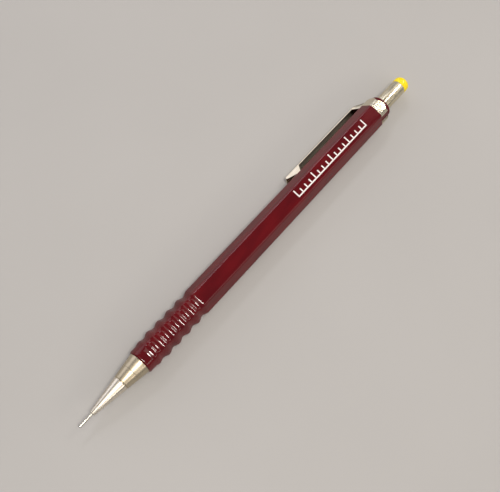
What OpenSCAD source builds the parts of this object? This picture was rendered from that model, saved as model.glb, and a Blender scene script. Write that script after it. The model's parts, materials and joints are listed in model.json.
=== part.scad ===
// Mechanical pencil: a six-sided moulded barrel with a waved grip, a turned nose
// cone with a fixed lead sleeve, a three-jaw spring chuck, a lead reservoir, a
// sheet-metal clip and a push button with an eraser under it.
// Millimetres. The pencil lies along X with its tip towards -X. The origin is the
// centre of the open end of the lead sleeve. +Z is up when the pencil lies on a
// table, where it rests on one barrel corner and on the lower edge of the clip.

/* [Lead and sleeve] */
// Diameter of the lead
lead_d = 0.38; // [0.36:0.01:0.39]
// Length of the lead in the chuck
lead_len = 60; // [50:1:62]
// Length of sleeve that stands out of the nose cone
sleeve_len = 4.55; // [4:0.05:4.6]
// Outer diameter of the sleeve
sleeve_d = 0.73; // [0.7:0.01:0.76]

/* [Nose cone] */
// Length of the cone that shows
cone_len = 17.95; // [17.5:0.05:18.5]
// Diameter of the cone where the sleeve comes out
cone_front_d = 1.5; // [1.4:0.05:1.7]
// Diameter of the cone where it meets the barrel
cone_rear_d = 6.75; // [6.6:0.05:6.9]

/* [Barrel] */
// Distance across two opposite flats
barrel_flats = 7.8; // [7.6:0.05:8]
// Distance across two opposite rounded edges
barrel_edges = 8.66; // [8.5:0.02:8.8]
// Length from the nose cone to the clip band
barrel_len = 104.6; // [100:0.1:110]
// Pitch of the waves of the grip
wave_pitch = 3.95; // [3.8:0.05:4]
// Number of full hollows in the grip
wave_count = 5; // [3:1:5]
// Distance across the grip's crests at the barrel's edges
wave_d = 8.76; // [8.7:0.02:8.8]
// Depth of the hollows at the barrel's edges
wave_depth = 0.7; // [0.4:0.01:0.72]

/* [Clip] */
// Height of the clip's outer face above the flat that it lies along
clip_height = 2.5; // [2.4:0.1:2.8]
// Width of the clip
clip_w = 3; // [2.6:0.1:3.2]
// Thickness of the clip's sheet metal
clip_sheet = 0.4; // [0.3:0.05:0.4]
// Length of the band that holds the clip
band_len = 3.9; // [3.6:0.1:4.2]
// Thickness of the band
band_t = 0.5; // [0.4:0.05:0.6]
// Width of the open seam of the band
band_gap = 2.8; // [1.5:0.1:3]

/* [Button] */
// Diameter of the button
button_d = 4.96; // [4.9:0.02:5]
// Length of button tube that shows
button_len = 9.4; // [8:0.1:10]
// Length of the plug that closes the button
plug_len = 3.3; // [3:0.1:3.5]
// Travel of the button
press_travel = 3.4; // [3:0.1:3.4]

/* [Hidden] */
$fn = 64;

metal = "#cdbd9a";
maroon = "#641c20";

// Places along the pencil
x_cone = sleeve_len;
x_barrel = x_cone + cone_len;
x_band = x_barrel + barrel_len;
x_end_ring = x_band + band_len;
x_end = x_end_ring + 0.8;
x_plug = x_end + button_len;

// Hexagon of the barrel: half across the flats, half across the rounded edges
apothem = barrel_flats / 2;
edge_r = barrel_edges / 2;

// Lying pose: the line under a barrel edge and the clip's lower edge
clip_side = 120;
clip_edge_r = 0.25;
clip_top = apothem + clip_height;
clip_arm_y = clip_w / 2 - clip_edge_r;
clip_edge_y = (clip_top - clip_edge_r) * sin(clip_side) + clip_arm_y * cos(clip_side);
clip_edge_z = (clip_top - clip_edge_r) * cos(clip_side) - clip_arm_y * sin(clip_side);
edge_y = -edge_r * sin(acos(apothem / edge_r));
span = norm([clip_edge_y - edge_y, clip_edge_z + apothem]);
slope = atan2(clip_edge_z + apothem, clip_edge_y - edge_y);
rest_roll = -(slope - asin(clip_edge_r / span));

// Nose cone bores, front to rear
root_r = 0.55;
retainer_r = 0.95;
x_retainer = x_cone + 4.25;
retainer_len = 3.4;
jaw_room_r = 1.8;
ring_room_r = 2.1;
x_ring_stop = x_cone + 15.85;
spigot_r = 2.72;
spigot_len = 7;
x_spigot_end = x_barrel + spigot_len;

// Chuck: ring, jaws, stem and spring
ring_len = 2.4;
ring_travel = 1.15;
x_ring = x_ring_stop + ring_travel + 0.05;
ring_r = ring_room_r - 0.05;
ring_throat_r = 1.09;
x_bush = x_ring + ring_len;
jaw_head_r = 1.5;
jaw_neck_r = 1.0;
jaw_slit = 0.3;
jaw_bore_r = lead_d / 2 + 0.02;
x_jaw = x_ring - 2;
x_jaw_room = x_jaw - press_travel;
x_jaw_root = x_bush + 2.5;
seat_fit = 0.04;
stem_r = jaw_neck_r;
x_stem_end = x_jaw_root + 14.5;
bush_len = 14;
spring_wire = 0.32;
spring_r = 1.45;
spring_turns = 9;
spring_steps = 14;
spring_sides = 8;
x_spring = x_bush + 2.3;
x_reservoir = x_bush + 12;
spring_len = x_reservoir - x_spring - 0.1;

// Grip
wave_r = wave_d / 2;
wave_steps = 5;
x_first_hollow = x_barrel + 5.3;
x_grip_end = x_first_hollow + (wave_count - 0.5) * wave_pitch;

// Barrel bores and the rear end
bore_r = 2.62;
thread_r = spigot_r + 0.03;
x_shoulder = x_spigot_end + 1.5;
end_ring_r = 3.62;
band_chamfer = 0.6;

// Reservoir, eraser and button
tube_r = 1.8;
tube_bore_r = 1.38;
socket_r = 2.16;
x_socket = x_end - 4;
x_tube_end = x_end + 2.2;
eraser_r = 1.72;
eraser_len = 5.4;
needle_root_r = 0.5;
button_wall = 0.25;
x_button = x_end - 4.6;
dome_len = 1.8;

// Clip, seen from the side: bill, step, strip and arm
clip_gap = 0.05;
x_bill = 92.2;
bill_nose_r = 0.55;
x_bill_low = 96.2;
x_step = 98.4;
flange = 0.48;
x_bend = 125.9;
x_arm_front = 126.8;
x_arm_rear = 129.6;

// A solid of revolution about X from points [x, r], its seam away from the flats' middles
module turned(points) {
    rotate([0, 90, 0]) rotate(17) rotate_extrude() polygon([for (p = points) [p[1], p[0]]]);
}

// A round tube about X from x0 to x1
module tube(x0, x1, inner_r, outer_r) {
    turned([[x0, inner_r], [x1, inner_r], [x1, outer_r], [x0, outer_r]]);
}

// A hexagonal prism about X with its flats set in by a distance from the barrel's
module hex_prism(x0, x1, inset = 0) {
    translate([x0, 0, 0]) rotate([0, 90, 0]) linear_extrude(x1 - x0)
        rotate(30) circle((apothem - inset) / cos(30), $fn = 6);
}

// The plug of the band: the hexagon and its rounded edges, both set in by the sheet
module band_core(x0, x1) {
    intersection() {
        hex_prism(x0, x1, band_t);
        tube(x0 - 1, x1 + 1, 0, edge_r - band_t);
    }
}

// The pencil's turn about its own axis when it lies on a table
module lying() {
    rotate([rest_roll, 0, 0]) children();
}

// Turns a piece from the top flat to the flat that carries the clip
module on_clip_side() {
    rotate([-clip_side, 0, 0]) children();
}

function cone_r(x) = (cone_front_d + (cone_rear_d - cone_front_d) * (x - x_cone) / cone_len) / 2;

// The sleeve's thicker root is pressed into the cone from behind
module sleeve_pipe() {
    color("#d8d6d0") lying() turned([
        [0, jaw_bore_r], [0, sleeve_d / 2], [x_cone, sleeve_d / 2],
        [x_cone, root_r], [x_retainer, root_r], [x_retainer, jaw_bore_r]
    ]);
}

module nose_cone() {
    groove = x_cone + 10.75;
    groove_w = 0.3;
    groove_depth = 0.16;
    color(metal) lying() turned([
        [x_cone, root_r], [x_cone, cone_r(x_cone)],
        [groove - groove_w / 2, cone_r(groove)],
        [groove, cone_r(groove) - groove_depth],
        [groove + groove_w / 2, cone_r(groove)],
        [x_barrel, cone_rear_d / 2], [x_barrel, spigot_r],
        [x_spigot_end, spigot_r], [x_spigot_end, ring_room_r],
        [x_ring_stop, ring_room_r], [x_ring_stop, jaw_room_r],
        [x_jaw_room, jaw_room_r], [x_retainer + retainer_len, retainer_r],
        [x_retainer, retainer_r], [x_retainer, root_r]
    ]);
}

module lead_retainer() {
    color("#2b2b2b") lying()
        tube(x_retainer, x_retainer + retainer_len - 0.1, lead_d / 2 + 0.01, retainer_r - 0.01);
}

module clutch_ring() {
    mouth_r = jaw_r(x_ring) + seat_fit;
    color("#b5892f") lying() turned([
        [x_ring, mouth_r], [x_ring, ring_r], [x_bush, ring_r],
        [x_bush, ring_throat_r], [x_bush - 0.8, ring_throat_r]
    ]);
}

// Radius of the closed jaws where their heads taper down to the neck
function jaw_r(x) = jaw_head_r - (jaw_head_r - ring_throat_r + seat_fit)
    * (x - x_jaw - 1) / (x_bush - 0.8 - x_jaw - 1);

// One third of the slit chuck, from its head to its springing root
module chuck_jaw(turn) {
    color("#b5892f") lying() rotate([turn, 0, 0]) intersection() {
        turned([
            [x_jaw, jaw_bore_r], [x_jaw, jaw_head_r - 0.3], [x_jaw + 0.3, jaw_head_r],
            [x_jaw + 1, jaw_head_r], [x_bush - 0.8, jaw_r(x_bush - 0.8)],
            [x_bush - 0.75, jaw_neck_r], [x_jaw_root, jaw_neck_r], [x_jaw_root, jaw_bore_r]
        ]);
        translate([x_jaw - 1, 0, 0]) rotate([0, 90, 0]) linear_extrude(x_jaw_root - x_jaw + 2)
            rotate(180) translate([jaw_slit / sqrt(3), 0])
                polygon([[0, 0], [3, -3 * sqrt(3)], [6, 0], [3, 3 * sqrt(3)]]);
    }
}

module chuck_jaw_1() { chuck_jaw(0); }
module chuck_jaw_2() { chuck_jaw(120); }
module chuck_jaw_3() { chuck_jaw(240); }

module chuck_stem() {
    color("#b5892f") lying() tube(x_jaw_root + 0.06, x_stem_end, 0.45, stem_r);
}

// Points of the spring's ring number i, square to the helix
function spring_ring(i) =
    let (
        turn = 360 * i / spring_steps,
        x = x_spring + spring_wire / 2
            + (spring_len - spring_wire) * i / (spring_turns * spring_steps)
    )
    [for (s = [0 : spring_sides - 1])
        let (
            a = 360 * s / spring_sides,
            r = spring_r + spring_wire / 2 * cos(a)
        )
        [x + spring_wire / 2 * sin(a), r * cos(turn), r * sin(turn)]];

module chuck_spring() {
    rings = spring_turns * spring_steps;
    points = [for (i = [0 : rings]) each spring_ring(i)];
    sides = [for (i = [0 : rings - 1]) for (s = [0 : spring_sides - 1])
        let (
            a = i * spring_sides + s,
            b = i * spring_sides + (s + 1) % spring_sides
        )
        each [[a, b, b + spring_sides], [a, b + spring_sides, a + spring_sides]]];
    first = [for (s = [spring_sides - 1 : -1 : 0]) s];
    last = [for (s = [0 : spring_sides - 1]) rings * spring_sides + s];
    color("#a9a9a9") lying() polyhedron(points, concat(sides, [first], [last]));
}

module connector_bush() {
    color("#8f8f8f") lying() turned([
        [x_bush, ring_throat_r + 0.02], [x_bush, ring_room_r - 0.03],
        [x_spigot_end, ring_room_r - 0.03], [x_spigot_end, spigot_r],
        [x_shoulder, spigot_r], [x_shoulder, bore_r - 0.02],
        [x_bush + bush_len, bore_r - 0.02], [x_bush + bush_len, 1.95],
        [x_bush + 2.2, 1.95], [x_bush + 2.2, ring_throat_r + 0.02]
    ]);
}

// Points that swing from knot to knot, level at each of them
function eased(knots) = [for (i = [0 : len(knots) - 2]) for (step = [0 : wave_steps - 1])
    let (
        a = knots[i],
        b = knots[i + 1],
        t = step / wave_steps
    )
    [a[0] + t * (b[0] - a[0]), a[1] + (b[1] - a[1]) * (1 - cos(180 * t)) / 2]];

// The turned skin that cuts the hexagon: a land, one low wave and then the full waves
module barrel_skin() {
    land_r = 3.82;
    low_r = wave_r - wave_depth;
    hollows = [for (i = [0 : 2 * wave_count - 2])
        [x_first_hollow + i * wave_pitch / 2, i % 2 == 0 ? low_r : wave_r]];
    turned(concat(
        [[x_barrel, 0], [x_barrel, 3.45], [x_barrel + 0.1, 3.6], [x_barrel + 0.6, land_r]],
        eased(concat(
            [[x_barrel + 2.1, land_r], [x_barrel + 3.7, 4.15]], hollows, [[x_grip_end, edge_r]]
        )),
        [[x_grip_end, edge_r], [x_band + 1, edge_r], [x_band + 1, 0]]
    ));
}

module barrel() {
    color(maroon) lying() difference() {
        union() {
            intersection() {
                hex_prism(x_barrel, x_band);
                barrel_skin();
            }
            band_core(x_band - 0.01, x_end_ring + 0.01);
            turned([
                [x_end_ring, 0], [x_end_ring, apothem - band_t],
                [x_end_ring + 0.15, end_ring_r], [x_end - 0.25, end_ring_r],
                [x_end, end_ring_r - 0.25], [x_end, 0]
            ]);
        }
        tube(x_barrel - 1, x_shoulder, 0, thread_r);
        tube(x_shoulder - 1, x_end + 1, 0, bore_r);
    }
}

module clip_band() {
    color(metal) lying() difference() {
        intersection() {
            hex_prism(x_band, x_end_ring);
            turned([
                [x_band - 1, 0], [x_band - 1, edge_r], [x_end_ring - band_chamfer, edge_r],
                [x_end_ring + 0.1, apothem - 0.12], [x_end_ring + 0.1, 0]
            ]);
        }
        band_core(x_band - 1, x_end_ring + 1);
        rotate([60, 0, 0]) translate([x_band - 1, -band_gap / 2, 0])
            cube([band_len + 2, band_gap, edge_r + 1]);
    }
}

// Side outline of the clip's flanges, from the bill to the arm's foot
module clip_outline() {
    low = apothem + clip_gap;
    translate([x_bill + bill_nose_r, clip_top - bill_nose_r]) circle(bill_nose_r);
    polygon([
        [x_bill + bill_nose_r, clip_top], [x_bill + 0.3, clip_top - 1.04],
        [x_bill_low, low], [x_bill_low + 0.6, low], [x_step, clip_top - flange],
        [x_bend - 1, clip_top - flange], [x_arm_front, low], [x_arm_rear, low],
        [x_bend + 0.5, clip_top - 0.15], [x_bend, clip_top]
    ]);
}

module clip_strip() {
    color(metal) lying() on_clip_side() difference() {
        intersection() {
            rotate([90, 0, 0]) linear_extrude(clip_w, center = true) clip_outline();
            // The two long outer edges are rounded
            union() {
                translate([x_bill - 1, -clip_w / 2, 0])
                    cube([x_end - x_bill, clip_w, clip_top - clip_edge_r]);
                for (side = [-1, 1])
                    translate([x_bill - 1, side * clip_arm_y, clip_top - clip_edge_r])
                        rotate([0, 90, 0]) cylinder(x_end - x_bill, clip_edge_r, clip_edge_r);
                translate([x_bill - 1, -clip_arm_y, 0])
                    cube([x_end - x_bill, 2 * clip_arm_y, clip_top]);
            }
        }
        // The hollow between the two flanges, open towards the barrel
        rotate([90, 0, 0]) linear_extrude(clip_w - 2 * clip_sheet, center = true) polygon([
            [x_bill + clip_sheet, clip_top - clip_sheet - 0.4],
            [x_bill + clip_sheet, apothem - 1], [x_arm_rear - 0.62, apothem - 1],
            [x_arm_rear - 0.62, apothem + clip_gap], [x_bend + 0.1, clip_top - clip_sheet - 0.1],
            [x_bend - 0.1, clip_top - clip_sheet], [x_bill + bill_nose_r, clip_top - clip_sheet]
        ]);
    }
}

module reservoir_tube() {
    color("#3a3a3c") lying() turned([
        [x_reservoir, stem_r], [x_reservoir, tube_r], [x_socket - 0.6, tube_r],
        [x_socket, socket_r], [x_tube_end, socket_r], [x_tube_end, tube_bore_r],
        [x_stem_end, tube_bore_r], [x_stem_end, stem_r]
    ]);
}

module writing_lead() {
    inside = 0.6;
    color("#303033") lying() tube(inside, inside + lead_len, 0, lead_d / 2);
}

module spare_leads() {
    count = 3;
    ring = 0.72;
    x0 = x_stem_end + 18;
    color("#303033") lying() for (i = [0 : count - 1])
        rotate([90 + 360 * i / count, 0, 0]) translate([0, 0, ring])
            tube(x0, x0 + lead_len, 0, lead_d / 2);
}

module eraser_ferrule() {
    x_cup = x_tube_end + 0.05;
    color("#d8d6d0") lying() turned([
        [x_cup - 3, needle_root_r], [x_cup - 3, tube_bore_r - 0.03], [x_cup, tube_bore_r - 0.03],
        [x_cup, eraser_r + 0.22], [x_cup + 2.4, eraser_r + 0.22],
        [x_cup + 2.4, eraser_r + 0.02], [x_cup + 0.2, eraser_r + 0.02], [x_cup + 0.2, needle_root_r]
    ]);
}

module eraser() {
    x0 = x_tube_end + 0.25;
    color("white") lying() turned([
        [x0, 0], [x0, eraser_r], [x0 + eraser_len - 0.3, eraser_r],
        [x0 + eraser_len, eraser_r - 0.3], [x0 + eraser_len, 0]
    ]);
}

module cleaning_needle() {
    needle_r = 0.15;
    x_root = x_tube_end - 0.05;
    color("#c9c9c9") lying() turned([
        [x_root - 20, 0], [x_root - 20, needle_r], [x_root - 2.6, needle_r],
        [x_root - 2.6, needle_root_r], [x_root, needle_root_r], [x_root, 0]
    ]);
}

module button_tube() {
    outer_r = button_d / 2;
    color("#e3dac4") lying() turned([
        [x_button, outer_r - button_wall], [x_button, outer_r - 0.1],
        [x_button + 0.1, outer_r], [x_plug - 0.1, outer_r], [x_plug, outer_r - 0.1],
        [x_plug, outer_r - button_wall]
    ]);
}

module button_plug() {
    rim_r = button_d / 2 + 0.02;
    inner_r = button_d / 2 - button_wall - 0.01;
    rim = plug_len - dome_len;
    color("#ffe00d") lying() turned(concat(
        [[x_plug - 1, 0], [x_plug - 1, inner_r], [x_plug, inner_r], [x_plug, rim_r - 0.1]],
        [[x_plug + 0.1, rim_r]],
        [for (a = [0 : 10 : 90]) [x_plug + rim + dome_len * sin(a), rim_r * cos(a)]]
    ));
}

sleeve_pipe();
nose_cone();
lead_retainer();
clutch_ring();
chuck_jaw_1();
chuck_jaw_2();
chuck_jaw_3();
chuck_stem();
chuck_spring();
connector_bush();
barrel();
clip_band();
clip_strip();
reservoir_tube();
writing_lead();
spare_leads();
eraser();
eraser_ferrule();
cleaning_needle();
button_tube();
button_plug();
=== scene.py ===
import json
from math import atan2, cos, pi, radians, sin, sqrt

import bmesh
import bpy
from mathutils import Matrix, Vector


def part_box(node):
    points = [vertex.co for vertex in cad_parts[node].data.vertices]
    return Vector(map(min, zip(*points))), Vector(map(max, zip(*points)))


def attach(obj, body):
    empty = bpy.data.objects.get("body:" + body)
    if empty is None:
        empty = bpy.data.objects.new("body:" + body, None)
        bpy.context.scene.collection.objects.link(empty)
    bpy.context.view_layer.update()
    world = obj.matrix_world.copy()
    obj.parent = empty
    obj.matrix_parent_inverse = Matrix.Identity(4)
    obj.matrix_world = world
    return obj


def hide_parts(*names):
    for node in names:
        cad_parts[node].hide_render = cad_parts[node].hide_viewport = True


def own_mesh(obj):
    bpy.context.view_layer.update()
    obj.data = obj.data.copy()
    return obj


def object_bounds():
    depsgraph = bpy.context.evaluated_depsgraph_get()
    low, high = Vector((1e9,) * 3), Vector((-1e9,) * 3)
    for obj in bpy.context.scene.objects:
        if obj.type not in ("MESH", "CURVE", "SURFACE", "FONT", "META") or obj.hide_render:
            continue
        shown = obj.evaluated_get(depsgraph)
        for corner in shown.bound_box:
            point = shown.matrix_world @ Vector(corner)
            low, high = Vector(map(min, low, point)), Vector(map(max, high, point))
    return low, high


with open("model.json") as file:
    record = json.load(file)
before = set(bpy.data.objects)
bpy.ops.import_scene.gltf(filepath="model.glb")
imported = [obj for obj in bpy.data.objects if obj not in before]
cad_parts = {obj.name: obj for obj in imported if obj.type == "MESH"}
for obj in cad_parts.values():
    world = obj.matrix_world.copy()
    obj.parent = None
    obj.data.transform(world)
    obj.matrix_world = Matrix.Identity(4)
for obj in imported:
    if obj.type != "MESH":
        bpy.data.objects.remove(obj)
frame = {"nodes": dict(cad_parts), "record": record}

cad_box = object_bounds()


# ---------------------------------------------------------------------------
# Lying pose. The pencil rests on one barrel edge and on the clip's lower edge, so it is
# turned a few degrees about its own axis. Outlines are drawn in millimetres with a flat
# facing straight up, and are then turned with the pencil.
MM = 0.001
CLIP_SIDE = radians(120)
clip_mount = next(m for m in frame["record"]["mounts"] if m["name"] == "clip_pocket")
clip_lean = atan2(clip_mount["axis"][1], clip_mount["axis"][2])
LYING = Matrix.Rotation(CLIP_SIDE - clip_lean, 4, "X")
TO_CLIP = LYING @ Matrix.Rotation(-CLIP_SIDE, 4, "X")


# ---------------------------------------------------------------------------
# Nose cone. Turned from brass bar and nickel plated; its front is polished and its rear
# keeps the fine rings of the lathe tool, with a groove between them. It screws into the
# barrel.
def linear(hex_colour):
    """The linear colour of an sRGB hex value."""
    channels = [int(hex_colour[i:i + 2], 16) / 255 for i in (1, 3, 5)]
    return [c / 12.92 if c <= 0.04045 else ((c + 0.055) / 1.055) ** 2.4 for c in channels] + [1]


def add(material, kind, settings=None, out=0, **inputs):
    """Adds a node with its settings, values and links, and gives one of its outputs."""
    node = material.node_tree.nodes.new(kind)
    for name, value in (settings or {}).items():
        setattr(node, name, value)
    for name, value in inputs.items():
        number = name[2:] if name.startswith("in") else ""
        socket = node.inputs[int(number) if number.isdigit() else name.replace("_", " ")]
        if isinstance(value, bpy.types.NodeSocket):
            material.node_tree.links.new(value, socket)
        else:
            socket.default_value = value
    return node.outputs[out] if len(node.outputs) else node


def blank_material(name):
    """An empty material, and the place on the object of each of its points."""
    material = bpy.data.materials.new(name)
    material.use_nodes = True
    material.node_tree.nodes.clear()
    return material, add(material, "ShaderNodeTexCoord", out="Object")


def feature(along, across):
    """Texture scale at which a feature measures along x across millimetres."""
    return 1 / (along * MM), 1 / (across * MM), 1 / (across * MM)


def nickel(name, colour, shade, roughness, mark, depth, drawn=False):
    """Nickel plate, or other bright metal, over turned or drawn work. It gives the eye a warm
    gleam, drawn out by the tool's marks and a little uneven from patch to patch."""
    # Real tool marks are 0.02 to 0.05 mm apart: here they are coarse enough to show
    material, place = blank_material(name)
    mark_size = feature(30, mark) if drawn else feature(mark, 40)
    fine = add(material, "ShaderNodeTexNoise", Scale=1, Detail=3,
               Vector=add(material, "ShaderNodeMapping", Vector=place, Scale=mark_size))
    cloud = add(material, "ShaderNodeTexNoise", Scale=1, Detail=4,
                Vector=add(material, "ShaderNodeMapping", Vector=place, Scale=feature(2.5, 1.6)))
    patches = add(material, "ShaderNodeMix", {"data_type": "RGBA"}, out=2,
                  in0=cloud, in6=linear(shade), in7=linear(colour))
    darkening = add(material, "ShaderNodeMapRange", Value=fine, From_Min=0.35, From_Max=0.7,
                    To_Min=0, To_Max=0.35)
    tone = add(material, "ShaderNodeMix", {"data_type": "RGBA"}, out=2,
               in0=darkening, in6=patches, in7=linear(shade))
    patch_rough = add(material, "ShaderNodeMapRange", Value=cloud, From_Min=0.3, From_Max=0.75,
                      To_Min=roughness * 0.75, To_Max=roughness * 1.2)
    mark_rough = add(material, "ShaderNodeMapRange", Value=fine, From_Min=0.3, From_Max=0.7,
                     To_Min=0, To_Max=roughness * 0.5)
    rough = add(material, "ShaderNodeMath", {"operation": "ADD"}, in0=patch_rough, in1=mark_rough)
    bump = add(material, "ShaderNodeBump", Height=fine, Strength=1, Distance=depth * MM)
    metal = add(material, "ShaderNodeBsdfPrincipled", Base_Color=tone, Metallic=1,
                Roughness=rough, Normal=bump)
    add(material, "ShaderNodeOutputMaterial", Surface=metal)
    return material


def rounded(outline, steps=5):
    """Replaces each corner [x, r, size] of an outline by a short curve of that size."""
    points = []
    for i, corner in enumerate(outline):
        here = Vector(corner[:2])
        if len(corner) < 3:
            points.append(here)
            continue
        before = Vector(outline[i - 1][:2]) - here
        after = Vector(outline[(i + 1) % len(outline)][:2]) - here
        size = min(corner[2], before.length * 0.49, after.length * 0.49)
        start = here + before.normalized() * size
        end = here + after.normalized() * size
        for step in range(steps + 1):
            t = step / steps
            points.append(start * (1 - t) ** 2 + here * 2 * t * (1 - t) + end * t ** 2)
    return points


def to_object(name, bm, place, material, sharp=radians(32)):
    """Makes an object from a bmesh drawn in millimetres; only edges over the limit stay sharp."""
    bmesh.ops.recalc_face_normals(bm, faces=bm.faces)
    bmesh.ops.transform(bm, matrix=place @ Matrix.Scale(MM, 4), verts=bm.verts)
    for face in bm.faces:
        face.smooth = True
    for edge in bm.edges:
        edge.smooth = edge.calc_face_angle(0) < sharp
    mesh = bpy.data.meshes.new(name)
    bm.to_mesh(mesh)
    bm.free()
    piece = bpy.data.objects.new(name, mesh)
    bpy.context.scene.collection.objects.link(piece)
    mesh.materials.append(material)
    return piece


def skin_between(bm, rings, closed=True):
    """Joins rings of vertices with quads, the last to the first where the form is closed."""
    pairs = list(zip(rings, rings[1:])) + ([(rings[-1], rings[0])] if closed else [])
    for a, b in pairs:
        n = max(len(a), len(b))
        for i in range(n):
            j = (i + 1) % n
            corners = [a[i % len(a)], a[j % len(a)], b[j % len(b)], b[i % len(b)]]
            corners = [v for k, v in enumerate(corners) if v not in corners[:k]]
            if len(corners) > 2:
                bm.faces.new(corners)


def turned(name, outline, material, around=144):
    """A solid of revolution about X. Points on the axis close it; otherwise it is a ring."""
    points = rounded(outline)
    bm = bmesh.new()
    rings = []
    for x, r in points:
        if r < 1e-6:
            rings.append([bm.verts.new((x, 0, 0))])
            continue
        turns = [2 * pi * i / around for i in range(around)]
        rings.append([bm.verts.new((x, r * sin(a), r * cos(a))) for a in turns])
    skin_between(bm, rings, closed=points[0][1] > 1e-6 or points[-1][1] > 1e-6)
    return to_object(name, bm, LYING, material)


def span(node):
    """Where a CAD node begins and ends along the pencil, in millimetres."""
    low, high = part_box(node)
    return low[0] / MM, high[0] / MM


def width(node):
    """A CAD node's largest radius in millimetres, for a round node on the axis."""
    low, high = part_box(node)
    return (high[1] - low[1]) / MM / 2


cone_front, cone_spigot = span("nose_cone")
barrel_front, barrel_rear = span("barrel")
CONE_FRONT_R = 0.75
cone_rear_r = width("nose_cone")
SPIGOT_R = 2.72
groove_at = cone_front + 10.75
line_at = cone_front + 14.45


def cone_r(x):
    """Radius of the cone's outside at x."""
    return CONE_FRONT_R + (cone_rear_r - CONE_FRONT_R) * (x - cone_front) / (barrel_front - cone_front)


polished_nickel = nickel("polished_nickel_plate", "#ebe4d8", "#d6ccba", 0.22, 0.35, 0.0005)
turned_nickel = nickel("lathe_turned_nickel_plate", "#d6ccb6", "#a89a7f", 0.28, 0.2, 0.003)
nose = turned("nose_cone_metal", [
    # Lead sleeve's hole and the polished front
    (cone_front, 0.56),
    (cone_front, CONE_FRONT_R, 0.12),
    # Square groove
    (groove_at - 0.16, cone_r(groove_at - 0.16), 0.05),
    (groove_at - 0.1, cone_r(groove_at) - 0.15, 0.03),
    (groove_at + 0.1, cone_r(groove_at) - 0.15, 0.03),
    (groove_at + 0.16, cone_r(groove_at + 0.16), 0.05),
    # Scribed line
    (line_at - 0.06, cone_r(line_at - 0.06), 0.02),
    (line_at, cone_r(line_at) - 0.05),
    (line_at + 0.06, cone_r(line_at + 0.06), 0.02),
    # Shoulder against the barrel and the threaded spigot
    (barrel_front, cone_rear_r, 0.1),
    (barrel_front, SPIGOT_R, 0.05),
    (cone_spigot, SPIGOT_R, 0.15),
    # Stepped bore
    (cone_spigot, 2.1, 0.05),
    (cone_front + 15.85, 2.1),
    (cone_front + 15.85, 1.8),
    (cone_front + 11.65, 1.8),
    (cone_front + 7.65, 0.95),
    (cone_front + 4.25, 0.95),
    (cone_front + 4.25, 0.56)], polished_nickel)
nose.data.materials.append(turned_nickel)
for face in nose.data.polygons:
    face.material_index = int(face.center.x / MM > groove_at)
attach(nose, "nose")
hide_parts("nose_cone")


# ---------------------------------------------------------------------------
# Lead sleeve. A drawn stainless tube, pressed into the cone from behind, with its open
# end rounded so that it slides along a ruler.
drawn_steel = nickel("drawn_stainless_tube", "#d9d4c8", "#a9a394", 0.2, 0.1, 0.001, drawn=True)
SLEEVE_R = 0.365
SLEEVE_BORE = 0.21
sleeve_root_r = width("sleeve_pipe")
sleeve_tip, sleeve_root = span("sleeve_pipe")
sleeve = turned("lead_sleeve", [
    (sleeve_tip, SLEEVE_BORE, 0.03),
    (sleeve_tip, SLEEVE_R, 0.07),
    (cone_front, SLEEVE_R),
    (cone_front, sleeve_root_r),
    (sleeve_root, sleeve_root_r),
    (sleeve_root, SLEEVE_BORE)], drawn_steel, around=48)
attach(sleeve, "nose")
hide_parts("sleeve_pipe")


# ---------------------------------------------------------------------------
# Barrel. One glossy ABS moulding: a hexagon with rounded long edges, a waved grip for the
# fingers at the front, a recess for the clip band and a round end ring.
def gloss_abs():
    """Glossy ABS straight from a polished mould. It gives the eye a deep even red under a
    clear gleam, with the mould's faint ripple and the haze that fingers leave."""
    # Finger haze is finer than 0.05 mm: here its streaks are 0.1 x 0.6 mm so that they show
    material, place = blank_material("glossy_moulded_abs")
    cloud = add(material, "ShaderNodeTexNoise", Scale=1, Detail=5,
                Vector=add(material, "ShaderNodeMapping", Vector=place, Scale=feature(9, 3)))
    patches = add(material, "ShaderNodeMapRange", Value=cloud, From_Min=0.3, From_Max=0.7,
                  To_Min=0, To_Max=1)
    tone = add(material, "ShaderNodeMix", {"data_type": "RGBA"}, out=2,
               in0=patches, in6=linear("#52020a"), in7=linear("#63040c"))
    ripple = add(material, "ShaderNodeTexNoise", Scale=1, Detail=2,
                 Vector=add(material, "ShaderNodeMapping", Vector=place, Scale=feature(1.4, 0.9)))
    haze = add(material, "ShaderNodeTexNoise", Scale=1, Detail=4,
               Vector=add(material, "ShaderNodeMapping", Vector=place, Scale=feature(0.6, 0.1)))
    patch_rough = add(material, "ShaderNodeMapRange", Value=cloud, From_Min=0.3, From_Max=0.75,
                      To_Min=0.07, To_Max=0.14)
    haze_rough = add(material, "ShaderNodeMapRange", Value=haze, From_Min=0.55, From_Max=0.85,
                     To_Min=0, To_Max=0.07)
    rough = add(material, "ShaderNodeMath", {"operation": "ADD"}, in0=patch_rough, in1=haze_rough)
    bump = add(material, "ShaderNodeBump", Height=ripple, Strength=1, Distance=0.0012 * MM)
    plastic = add(material, "ShaderNodeBsdfPrincipled", Base_Color=tone, Roughness=rough,
                  Normal=bump, IOR=1.49, Specular_IOR_Level=0.38)
    add(material, "ShaderNodeOutputMaterial", Surface=plastic)
    return material


HALF_FLATS = 3.9
HALF_EDGES = 4.33
# The grip's skin, level at each knot: distance behind the barrel's front, radius on the
# flats and on the edges. A plain land and a low first wave come before the five hollows.
GRIP = [(2.1, 3.7, 3.82), (3.7, 3.87, 4.12), (5.3, 3.55, 3.74), (7.275, 3.92, 4.32)]
GRIP += [(9.25 + 1.975 * i, *((3.92, 4.32) if i % 2 else (3.53, 3.73))) for i in range(7)]
GRIP += [(23.075, HALF_FLATS, HALF_EDGES)]
GRIP_BULGE = 0.3
MOUTH_R = 3.45
MOUTH_ROUND = 0.6


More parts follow.
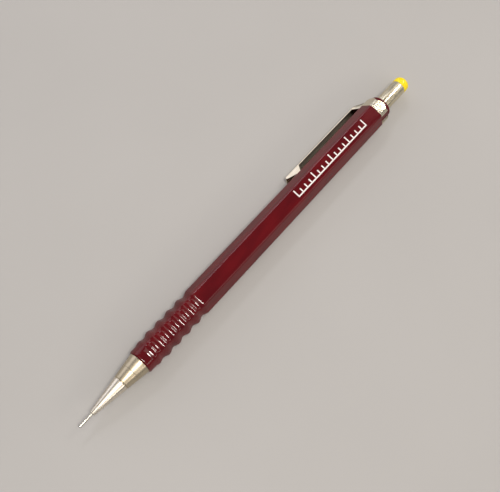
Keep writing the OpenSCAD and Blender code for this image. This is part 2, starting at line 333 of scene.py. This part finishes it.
def hex_r(turn, flats=HALF_FLATS, edges=HALF_EDGES, bulge=0.0):
    """Radius of a hexagon with rounded edges at an angle from the middle of a flat."""
    off = abs((turn + pi / 6) % (pi / 3) - pi / 6)
    corner = flats + (edges - flats) / (1 - bulge)
    curve = (flats / cos(pi / 6) - corner) / (1 / cos(pi / 6) - 1)
    centre = corner - curve
    across = pi / 6 - off
    if off < atan2(centre / 2, flats):
        r = flats / cos(off)
    else:
        r = centre * cos(across) + sqrt(curve ** 2 - (centre * sin(across)) ** 2)
    return r * (1 - bulge) + flats * bulge


def grip_section(x):
    """Radii on the flats and on the edges, and the flats' bulge, at x behind the front."""
    if x < MOUTH_ROUND:
        rise = sqrt(1 - (1 - x / MOUTH_ROUND) ** 2)
        flats, edges = (MOUTH_R + (r - MOUTH_R) * rise for r in GRIP[0][1:])
        return flats, edges, GRIP_BULGE
    if x <= GRIP[0][0]:
        return *GRIP[0][1:], GRIP_BULGE
    for (x0, flats0, edges0), (x1, flats1, edges1) in zip(GRIP, GRIP[1:]):
        if x <= x1:
            t = (1 - cos(pi * (x - x0) / (x1 - x0))) / 2
            bulge = GRIP_BULGE * (1 - t) if x1 == GRIP[-1][0] else GRIP_BULGE
            return flats0 + (flats1 - flats0) * t, edges0 + (edges1 - edges0) * t, bulge
    return HALF_FLATS, HALF_EDGES, 0.0


AROUND = 216
BAND_SHEET = 0.5
BAND_LIP = 0.03
END_RING_R = 3.62
BORE_R = 2.62
THREAD_R = 2.75
band_front, band_rear = span("clip_band")
around = [2 * pi * i / AROUND for i in range(AROUND)]
# Sections crowd together at the rounded mouth and over the waves
stations = [0, 0.01, 0.03, 0.06, 0.1, 0.15, 0.22, 0.3, 0.4, 0.5, 0.6, 0.7, 1.4]
stations += [2.1 + 0.11 * i for i in range(191)] + [23.1 + 4.06 * i for i in range(20)]
stations = [barrel_front + s for s in stations if s < band_front - barrel_front - 0.1]
stations += [band_front - BAND_LIP, band_front]
outer = []
for x in stations:
    section = grip_section(x - barrel_front)
    lip = BAND_LIP if x == band_front else 0
    outer.append([(x, hex_r(a, *section) - lip, a) for a in around])
for x in (band_front, band_rear):
    outer.append([(x, hex_r(a, HALF_FLATS - BAND_SHEET, HALF_EDGES - BAND_SHEET), a) for a in around])
ring_and_bore = [
    (band_rear, END_RING_R - 0.1),
    (band_rear + 0.1, END_RING_R),
    (barrel_rear - 0.3, END_RING_R),
    (barrel_rear - 0.15, END_RING_R - 0.04),
    (barrel_rear - 0.04, END_RING_R - 0.15),
    (barrel_rear, END_RING_R - 0.3),
    (barrel_rear, BORE_R + 0.1),
    (barrel_rear - 0.1, BORE_R),
    (barrel_front + 8.5, BORE_R),
    (barrel_front + 8.5, THREAD_R),
    (barrel_front + 0.2, THREAD_R),
    (barrel_front, THREAD_R + 0.1),
]
for x, r in ring_and_bore:
    outer.append([(x, r, a) for a in around])
bm = bmesh.new()
rings = [[bm.verts.new((x, r * sin(a), r * cos(a))) for x, r, a in ring] for ring in outer]
skin_between(bm, rings)
barrel = to_object("barrel_moulding", bm, LYING, gloss_abs(), sharp=radians(40))
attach(barrel, "barrel")
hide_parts("barrel")


# ---------------------------------------------------------------------------
# Print. White pad-printed marks on the upper flat: a plain scale of ticks, about 2 mm
# apart, along a base line. It is a film of ink a hundredth of a millimetre thick.
def pad_ink():
    """Pad-printing ink. It gives the eye a dull white, a little thin in specks."""
    # Real pinholes are under 0.05 mm: here the specks are 0.16 mm so that they show
    material, place = blank_material("white_pad_printing_ink")
    speck = add(material, "ShaderNodeTexNoise", Scale=1, Detail=3,
                Vector=add(material, "ShaderNodeMapping", Vector=place, Scale=feature(0.16, 0.16)))
    cover = add(material, "ShaderNodeMapRange", Value=speck, From_Min=0.35, From_Max=0.6,
                To_Min=0, To_Max=1)
    tone = add(material, "ShaderNodeMix", {"data_type": "RGBA"}, out=2,
               in0=cover, in6=linear("#dccfcc"), in7=linear("#fbf8f4"))
    bump = add(material, "ShaderNodeBump", Height=speck, Strength=1, Distance=0.004 * MM)
    film = add(material, "ShaderNodeBsdfPrincipled", Base_Color=tone, Roughness=0.45, Normal=bump)
    add(material, "ShaderNodeOutputMaterial", Surface=film)
    return material


INK = 0.012
INK_ROOT = 0.01
LINE_WIDTH = 0.42
TICKS = 17
LONG_TICK_EVERY = 4
PRINT_FROM, PRINT_TO = 88.0, 121.0
PRINT_LOW, PRINT_HIGH = -1.1, 1.5
bm = bmesh.new()


def ink_bar(x0, x1, y0, y1):
    """One printed bar with rounded ends, standing on the flat."""
    round_off = min(x1 - x0, y1 - y0) / 2 * 0.8
    outline = [(x0, y0, round_off), (x1, y0, round_off), (x1, y1, round_off), (x0, y1, round_off)]
    corners = rounded(outline, 4)
    low = [bm.verts.new((x, y, HALF_FLATS - INK_ROOT)) for x, y in corners]
    high = [bm.verts.new((x, y, HALF_FLATS + INK)) for x, y in corners]
    skin_between(bm, [low, high], closed=False)
    bm.faces.new(low)
    bm.faces.new(high)


ink_bar(PRINT_FROM, PRINT_TO, PRINT_LOW, PRINT_LOW + LINE_WIDTH)
for tick in range(TICKS):
    tick_top = PRINT_HIGH - (0 if tick % LONG_TICK_EVERY == 0 else 0.9)
    x = PRINT_FROM + tick * (PRINT_TO - PRINT_FROM - LINE_WIDTH) / (TICKS - 1)
    ink_bar(x, x + LINE_WIDTH, PRINT_LOW + 0.2, tick_top)
ink = to_object("printed_scale", bm, LYING, pad_ink())
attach(ink, "barrel")


# ---------------------------------------------------------------------------
# Clip band. A hexagonal hoop of nickel-plated sheet that snaps into the barrel's recess;
# its rear end is turned to a cone and its seam stays open on the flat opposite the clip.
sheet_nickel = nickel("bright_nickel_plated_sheet", "#ebe3d3", "#cbbfa3", 0.12, 0.14, 0.0008,
                      drawn=True)
EDGE_CUT = 0.9
SEAM_HALF = 1.4
SEAM_SIDE = radians(60)
BAND_STEPS = 180
BAND_CLEAR = 0.02
seam_turn = atan2(SEAM_HALF, HALF_FLATS)
core_flats = HALF_FLATS - BAND_SHEET + BAND_CLEAR
core_edges = HALF_EDGES - BAND_SHEET + BAND_CLEAR
bm = bmesh.new()
loops = []
for step in range(BAND_STEPS + 1):
    a = seam_turn + (2 * pi - 2 * seam_turn) * step / BAND_STEPS
    out_r = hex_r(a)
    in_r = hex_r(a, core_flats, core_edges)
    # The turned end is a cone, so it cuts the six edges further forward than the flats
    cut = band_rear - 0.05 - (out_r - HALF_FLATS) * EDGE_CUT / (HALF_EDGES - HALF_FLATS)
    profile = [
        (band_front + BAND_CLEAR, in_r),
        (band_front + BAND_CLEAR, out_r - 0.05),
        (band_front + 0.07, out_r),
        (cut - 0.12, out_r),
        (cut - 0.02, out_r - 0.06),
        (cut, out_r - 0.16),
        (cut, in_r),
    ]
    loops.append([bm.verts.new((x, r * sin(a), r * cos(a))) for x, r in profile])
skin_between(bm, loops, closed=False)
bm.faces.new(loops[0])
bm.faces.new(loops[-1])
band = to_object("clip_band_sheet", bm, LYING @ Matrix.Rotation(SEAM_SIDE, 4, "X"), sheet_nickel,
                 sharp=radians(25))
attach(band, "barrel")
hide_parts("clip_band")


# ---------------------------------------------------------------------------
# Clip. A strip of the same sheet folded to a shallow channel, deep at the bill that
# presses on the barrel and at the arm that rises from the band.
clip_front, clip_rear = span("clip_strip")
CLIP_TOP = HALF_FLATS + 2.5
FOOT = HALF_FLATS + 0.05
CLIP_HALF = 1.5
SHEET = 0.4
CORNER = 0.28
FLANGE = 0.45
NOSE = 0.55
NOSE_UNDER = 1.04
BILL_LOW = clip_front + 4.0
BILL_STEP = clip_front + 6.2
CONTACT = 0.6
BEND = clip_rear - 3.7
ARM_FRONT = clip_rear - 2.8


def clip_top(x):
    """Height of the outer face: a rounded nose, a straight strip and a sloping arm."""
    if x < clip_front + NOSE:
        return CLIP_TOP - NOSE + sqrt(max(0, NOSE ** 2 - (clip_front + NOSE - x) ** 2))
    if x < BEND:
        return CLIP_TOP
    t = (x - BEND) / (clip_rear - BEND)
    return CLIP_TOP + (FOOT + 0.12 - CLIP_TOP) * (t ** 1.35)


def clip_low(x):
    """Height of the flanges' free edges."""
    if x < clip_front + 0.3:
        return CLIP_TOP - NOSE - sqrt(max(0, NOSE ** 2 - (clip_front + NOSE - x) ** 2))
    if x < BILL_LOW:
        t = (x - clip_front - 0.3) / (BILL_LOW - clip_front - 0.3)
        return CLIP_TOP - NOSE_UNDER + (FOOT - CLIP_TOP + NOSE_UNDER) * t
    if x < BILL_LOW + CONTACT:
        return FOOT
    if x < BILL_STEP:
        t = (x - BILL_LOW - CONTACT) / (BILL_STEP - BILL_LOW - CONTACT)
        return FOOT + (CLIP_TOP - FLANGE - FOOT) * t
    if x < BEND - 1:
        return CLIP_TOP - FLANGE
    if x < ARM_FRONT:
        t = (x - BEND + 1) / (ARM_FRONT - BEND + 1)
        return CLIP_TOP - FLANGE + (FOOT - CLIP_TOP + FLANGE) * t
    return FOOT


def channel(x):
    """Cross-section of the channel at x, as (y, z) points round the whole sheet."""
    top = clip_top(x)
    low = min(clip_low(x), top - 0.1)
    under = max(top - SHEET, low + 0.02)
    half = [(CLIP_HALF, low), (CLIP_HALF, top - CORNER)]
    half += [(CLIP_HALF - CORNER * (1 - cos(t)), top - CORNER * (1 - sin(t)))
             for t in (pi / 8, pi / 4, 3 * pi / 8)]
    half += [(CLIP_HALF - CORNER, top), (0.6, top)]
    inner = [
        (0.6, under),
        (CLIP_HALF - SHEET - 0.1, under),
        (CLIP_HALF - SHEET, max(under - 0.02, low)),
        (CLIP_HALF - SHEET, low),
    ]
    other_half = [(-y, z) for y, z in reversed(half)]
    other_inner = [(-y, z) for y, z in reversed(inner)]
    return half + other_half + other_inner + inner


bm = bmesh.new()
xs = [clip_front + NOSE * (1 - cos(pi / 2 * i / 10)) for i in range(11)]
xs += [clip_front + 0.6 + 0.2 * i for i in range(29)]
xs += [clip_front + 6.4 + 0.5 * i for i in range(int((BEND - clip_front - 7.4) / 0.5))]
xs += [BEND - 1 + 0.1 * i for i in range(45)]
xs = [x for x in xs if x <= clip_rear - 0.02] + [clip_rear]
loops = [[bm.verts.new((x, y, z)) for y, z in channel(x)] for x in xs]
skin_between(bm, loops, closed=False)
bm.faces.new(loops[0])
bm.faces.new(loops[-1])
clip = to_object("clip_strip_sheet", bm, TO_CLIP, sheet_nickel, sharp=radians(35))
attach(clip, "clip")
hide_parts("clip_strip")


# ---------------------------------------------------------------------------
# Button. A drawn, polished and plated tube over the reservoir's rear end, closed by a
# glossy yellow plug with a domed top that is pressed into it.
button_front, button_rear = span("button_tube")
button_r = width("button_tube")
BUTTON_WALL = 0.25
drawn_nickel = nickel("polished_drawn_tube", "#ece4cf", "#c9bd9c", 0.2, 0.1, 0.0008, drawn=True)
tube = turned("button_tube_metal", [
    (button_front, button_r - BUTTON_WALL, 0.03),
    (button_front, button_r, 0.1),
    (button_rear, button_r, 0.14),
    (button_rear, button_r - BUTTON_WALL, 0.03)], drawn_nickel)
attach(tube, "button")
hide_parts("button_tube")


def yellow_plastic():
    """Glossy moulded polypropylene. It gives the eye a bright lemon yellow that glows a
    little where it is thin, with the mould's soft unevenness in its gleam."""
    material, place = blank_material("glossy_yellow_polypropylene")
    cloud = add(material, "ShaderNodeTexNoise", Scale=1, Detail=4,
                Vector=add(material, "ShaderNodeMapping", Vector=place, Scale=feature(1.2, 1.2)))
    patches = add(material, "ShaderNodeMapRange", Value=cloud, From_Min=0.3, From_Max=0.7,
                  To_Min=0, To_Max=1)
    tone = add(material, "ShaderNodeMix", {"data_type": "RGBA"}, out=2,
               in0=patches, in6=linear("#fcdf00"), in7=linear("#ffe600"))
    rough = add(material, "ShaderNodeMapRange", Value=cloud, From_Min=0.3, From_Max=0.75,
                To_Min=0.2, To_Max=0.34)
    bump = add(material, "ShaderNodeBump", Height=cloud, Strength=1, Distance=0.001 * MM)
    plastic = add(material, "ShaderNodeBsdfPrincipled", Base_Color=tone, Roughness=rough,
                  Normal=bump, IOR=1.49, Subsurface_Weight=0.12,
                  Subsurface_Radius=(1.0, 0.6, 0.1), Subsurface_Scale=0.8 * MM)
    add(material, "ShaderNodeOutputMaterial", Surface=plastic)
    return material


plug_front, plug_rear = span("button_plug")
plug_r = width("button_plug")
PLUG_CLEAR = 0.02
DOME = 1.8
DOME_STEPS = 16
stem_r = button_r - BUTTON_WALL - PLUG_CLEAR
dome_turns = [pi / 2 * i / DOME_STEPS for i in range(DOME_STEPS)]
plug = turned("button_plug_dome", [
    (plug_front, 0),
    (plug_front, stem_r, 0.15),
    (button_rear + PLUG_CLEAR, stem_r),
    (button_rear + PLUG_CLEAR, plug_r, 0.1),
    *[(plug_rear - DOME + DOME * sin(a), plug_r * cos(a)) for a in dome_turns],
    (plug_rear, 0)], yellow_plastic())
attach(plug, "button")
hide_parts("button_plug")


# ---------------------------------------------------------------------------
# Works inside. These CAD pieces keep their shapes and get their real finishes: machined
# brass, moulded acetal and polypropylene, rubber, vinyl, steel and polymer lead. They
# show when the button or the cone is off.
def moulded(name, colour, shade, roughness, grain, depth):
    """Moulded plastic, rubber or lead. It gives the eye an even, quiet colour with the fine
    skin that the mould leaves."""
    # A real skin is finer than a tenth of a millimetre: here its grain is coarse enough to show
    material, place = blank_material(name)
    skin = add(material, "ShaderNodeTexNoise", Scale=1, Detail=5,
               Vector=add(material, "ShaderNodeMapping", Vector=place, Scale=feature(grain, grain)))
    patches = add(material, "ShaderNodeMapRange", Value=skin, From_Min=0.3, From_Max=0.7,
                  To_Min=0, To_Max=1)
    tone = add(material, "ShaderNodeMix", {"data_type": "RGBA"}, out=2,
               in0=patches, in6=linear(shade), in7=linear(colour))
    rough = add(material, "ShaderNodeMapRange", Value=skin, From_Min=0.3, From_Max=0.7,
                To_Min=roughness * 0.85, To_Max=roughness * 1.15)
    bump = add(material, "ShaderNodeBump", Height=skin, Strength=1, Distance=depth * MM)
    body = add(material, "ShaderNodeBsdfPrincipled", Base_Color=tone, Roughness=rough, Normal=bump)
    add(material, "ShaderNodeOutputMaterial", Surface=body)
    return material


brass = nickel("machined_brass", "#d9b25c", "#9c7630", 0.22, 0.12, 0.002)
acetal = moulded("moulded_acetal", "#4a4a4c", "#3a3a3c", 0.4, 0.5, 0.003)
tube_plastic = moulded("glossy_polypropylene_tube", "#2c2c2f", "#202022", 0.22, 1.5, 0.002)
rubber = moulded("soft_black_rubber", "#1c1c1c", "#121212", 0.7, 0.2, 0.006)
lead = moulded("polymer_graphite_lead", "#3b3b40", "#2a2a2e", 0.38, 0.12, 0.003)
vinyl = moulded("white_vinyl_eraser", "#f1efe9", "#dedbd2", 0.75, 0.3, 0.012)
finishes = {
    brass: ("clutch_ring", "chuck_jaw_1", "chuck_jaw_2", "chuck_jaw_3", "chuck_stem"),
    acetal: ("connector_bush",),
    tube_plastic: ("reservoir_tube",),
    rubber: ("lead_retainer",),
    lead: ("writing_lead", "spare_leads"),
    vinyl: ("eraser",),
    drawn_steel: ("eraser_ferrule", "cleaning_needle"),
}
for material, names in finishes.items():
    for name in names:
        mesh = frame["nodes"][name].data
        mesh.materials.clear()
        mesh.materials.append(material)


# ---------------------------------------------------------------------------
# Chuck spring. Hard-drawn steel wire wound on a mandrel, with closed end coils. It stands
# between the bush and the reservoir. The real spring shortens as the button goes in; this one keeps
# its wound length and moves with the barrel.
spring_steel = nickel("hard_drawn_spring_wire", "#b9bbbd", "#7e8083", 0.25, 0.08, 0.001)
WIRE = 0.32
COIL_R = 1.45
COILS = 9
COIL_STEPS = 28
WIRE_SIDES = 12
CLOSED_PITCH = 1.05 * WIRE
spring_from, spring_to = span("chuck_spring")
open_pitch = (spring_to - spring_from - WIRE - 2 * CLOSED_PITCH) / (COILS - 2)
bm = bmesh.new()
wire_rings = []
for step in range(COILS * COIL_STEPS + 1):
    turn = step / COIL_STEPS
    closed_turns = min(turn, 1) + max(turn - COILS + 1, 0)
    x = spring_from + WIRE / 2 + closed_turns * CLOSED_PITCH + (turn - closed_turns) * open_pitch
    outward = Vector((0, cos(2 * pi * turn), sin(2 * pi * turn)))
    wire_rings.append([])
    for side_step in range(WIRE_SIDES):
        a = 2 * pi * side_step / WIRE_SIDES
        spot = Vector((x, 0, 0)) + outward * (COIL_R + WIRE / 2 * cos(a))
        wire_rings[-1].append(bm.verts.new(spot + Vector((WIRE / 2 * sin(a), 0, 0))))
skin_between(bm, wire_rings, closed=False)
bm.faces.new(wire_rings[0])
bm.faces.new(wire_rings[-1])
spring = to_object("chuck_spring_wire", bm, Matrix.Identity(4), spring_steel)
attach(spring, "barrel")
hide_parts("chuck_spring")
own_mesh(spring)


# ---------------------------------------------------------------------------
# Table, light and camera. A pale matt table top in an even pale room, with two strip
# lamps and soft lamps over the pencil and soft lamps on both of its sides.
def table_top():
    """Matt laminate. It gives the eye a pale, almost even ground for soft shadows."""
    material, place = blank_material("pale_matt_laminate")
    cloud = add(material, "ShaderNodeTexNoise", Scale=1, Detail=3,
                Vector=add(material, "ShaderNodeMapping", Vector=place, Scale=feature(60, 60)))
    tone = add(material, "ShaderNodeMix", {"data_type": "RGBA"}, out=2,
               in0=cloud, in6=linear("#aeaca9"), in7=linear("#b4b2af"))
    laminate = add(material, "ShaderNodeBsdfPrincipled", Base_Color=tone, Roughness=0.6)
    add(material, "ShaderNodeOutputMaterial", Surface=laminate)
    return material


TABLE_HALF = 900
floor_z = cad_box[0][2] / MM
corners = [(-TABLE_HALF, -TABLE_HALF), (TABLE_HALF, -TABLE_HALF),
           (TABLE_HALF, TABLE_HALF), (-TABLE_HALF, TABLE_HALF)]
bm = bmesh.new()
bm.faces.new([bm.verts.new((x, y, floor_z)) for x, y in corners])
floor = to_object("table_top", bm, Matrix.Identity(4), table_top())

world = bpy.data.worlds.new("pale_room")
bpy.context.scene.world = world
world.use_nodes = True
world.node_tree.nodes["Background"].inputs["Color"].default_value = (0.84, 0.85, 0.88, 1)
world.node_tree.nodes["Background"].inputs["Strength"].default_value = 0.3

up = LYING @ Vector((0, 0, 1))
side = LYING @ Vector((0, 1, 0))
along = Vector((1, 0, 0))
middle = Vector((68.1 * MM, 0, 0))


def lamp(name, lean_along, lean_side, distance, size_along, size_side, power, colour):
    """A soft rectangular lamp, placed by its lean from the upper flat's normal in degrees."""
    light = bpy.data.lights.new(name, "AREA")
    light.shape = "RECTANGLE"
    light.size = size_along
    light.size_y = size_side
    light.energy = power
    light.color = linear(colour)[:3]
    holder = bpy.data.objects.new(name, light)
    bpy.context.scene.collection.objects.link(holder)
    a = radians(lean_along)
    s = radians(lean_side)
    way = (up * cos(s) + side * sin(s)) * cos(a) + along * sin(a)
    back = way.normalized()
    right = (along - back * along.dot(back)).normalized()
    turn = Matrix((right, back.cross(right), back)).transposed().to_4x4()
    holder.matrix_world = Matrix.Translation(middle + way * distance) @ turn


# The two strips make the short bright lines on the grip's waves
lamp("strip_lamp_front", -6.3, -5, 0.9, 0.06, 0.24, 3.6, "#fff8f0")
lamp("strip_lamp_rear", 41, -3, 0.9, 0.045, 0.22, 0.95, "#fff8f0")
# These fill the cone and the button with light
lamp("soft_lamp_front", -12, -8, 1.0, 0.26, 1.8, 2.0, "#fff6ec")
lamp("soft_lamp_rear", 51, -3, 1.0, 0.28, 1.2, 1.1, "#fff6ec")
# These light the clip, draw the line along the upper edge, and lift the lower flat
lamp("soft_lamp_side", 8, 74, 1.1, 1.2, 0.75, 3.0, "#fbf8ff")
lamp("line_lamp_side", 22, 45, 1.1, 0.5, 0.12, 1.5, "#fbf8ff")
lamp("soft_lamp_low", 10, -57, 1.1, 1.0, 0.24, 2.0, "#fff4ea")

# The camera looks down on the upper flat from the tip's side, the pencil rising to the
# right across the view
TILT = radians(20.5)
LEAN = radians(2)
RISE = radians(46.85)
DISTANCE = 0.2375
SHIFT_DOWN = 0.15 * MM
SENSOR = 36
FOCAL = 59.976
camera_data = bpy.data.cameras.new("camera")
camera_data.sensor_width = SENSOR
camera_data.lens = FOCAL
camera_data.clip_start = 0.01
camera = bpy.data.objects.new("camera", camera_data)
bpy.context.scene.collection.objects.link(camera)
back = (up * cos(LEAN) - side * sin(LEAN)) * cos(TILT) - along * sin(TILT)
across = (along - back * along.dot(back)).normalized()
upward = back.cross(across)
right = across * cos(RISE) - upward * sin(RISE)
top = across * sin(RISE) + upward * cos(RISE)
turn = Matrix((right, top, back)).transposed().to_4x4()
camera.matrix_world = Matrix.Translation(middle + back * DISTANCE - upward * SHIFT_DOWN) @ turn
bpy.context.scene.camera = camera
bpy.context.scene.view_settings.view_transform = "Standard"

bpy.context.view_layer.update()
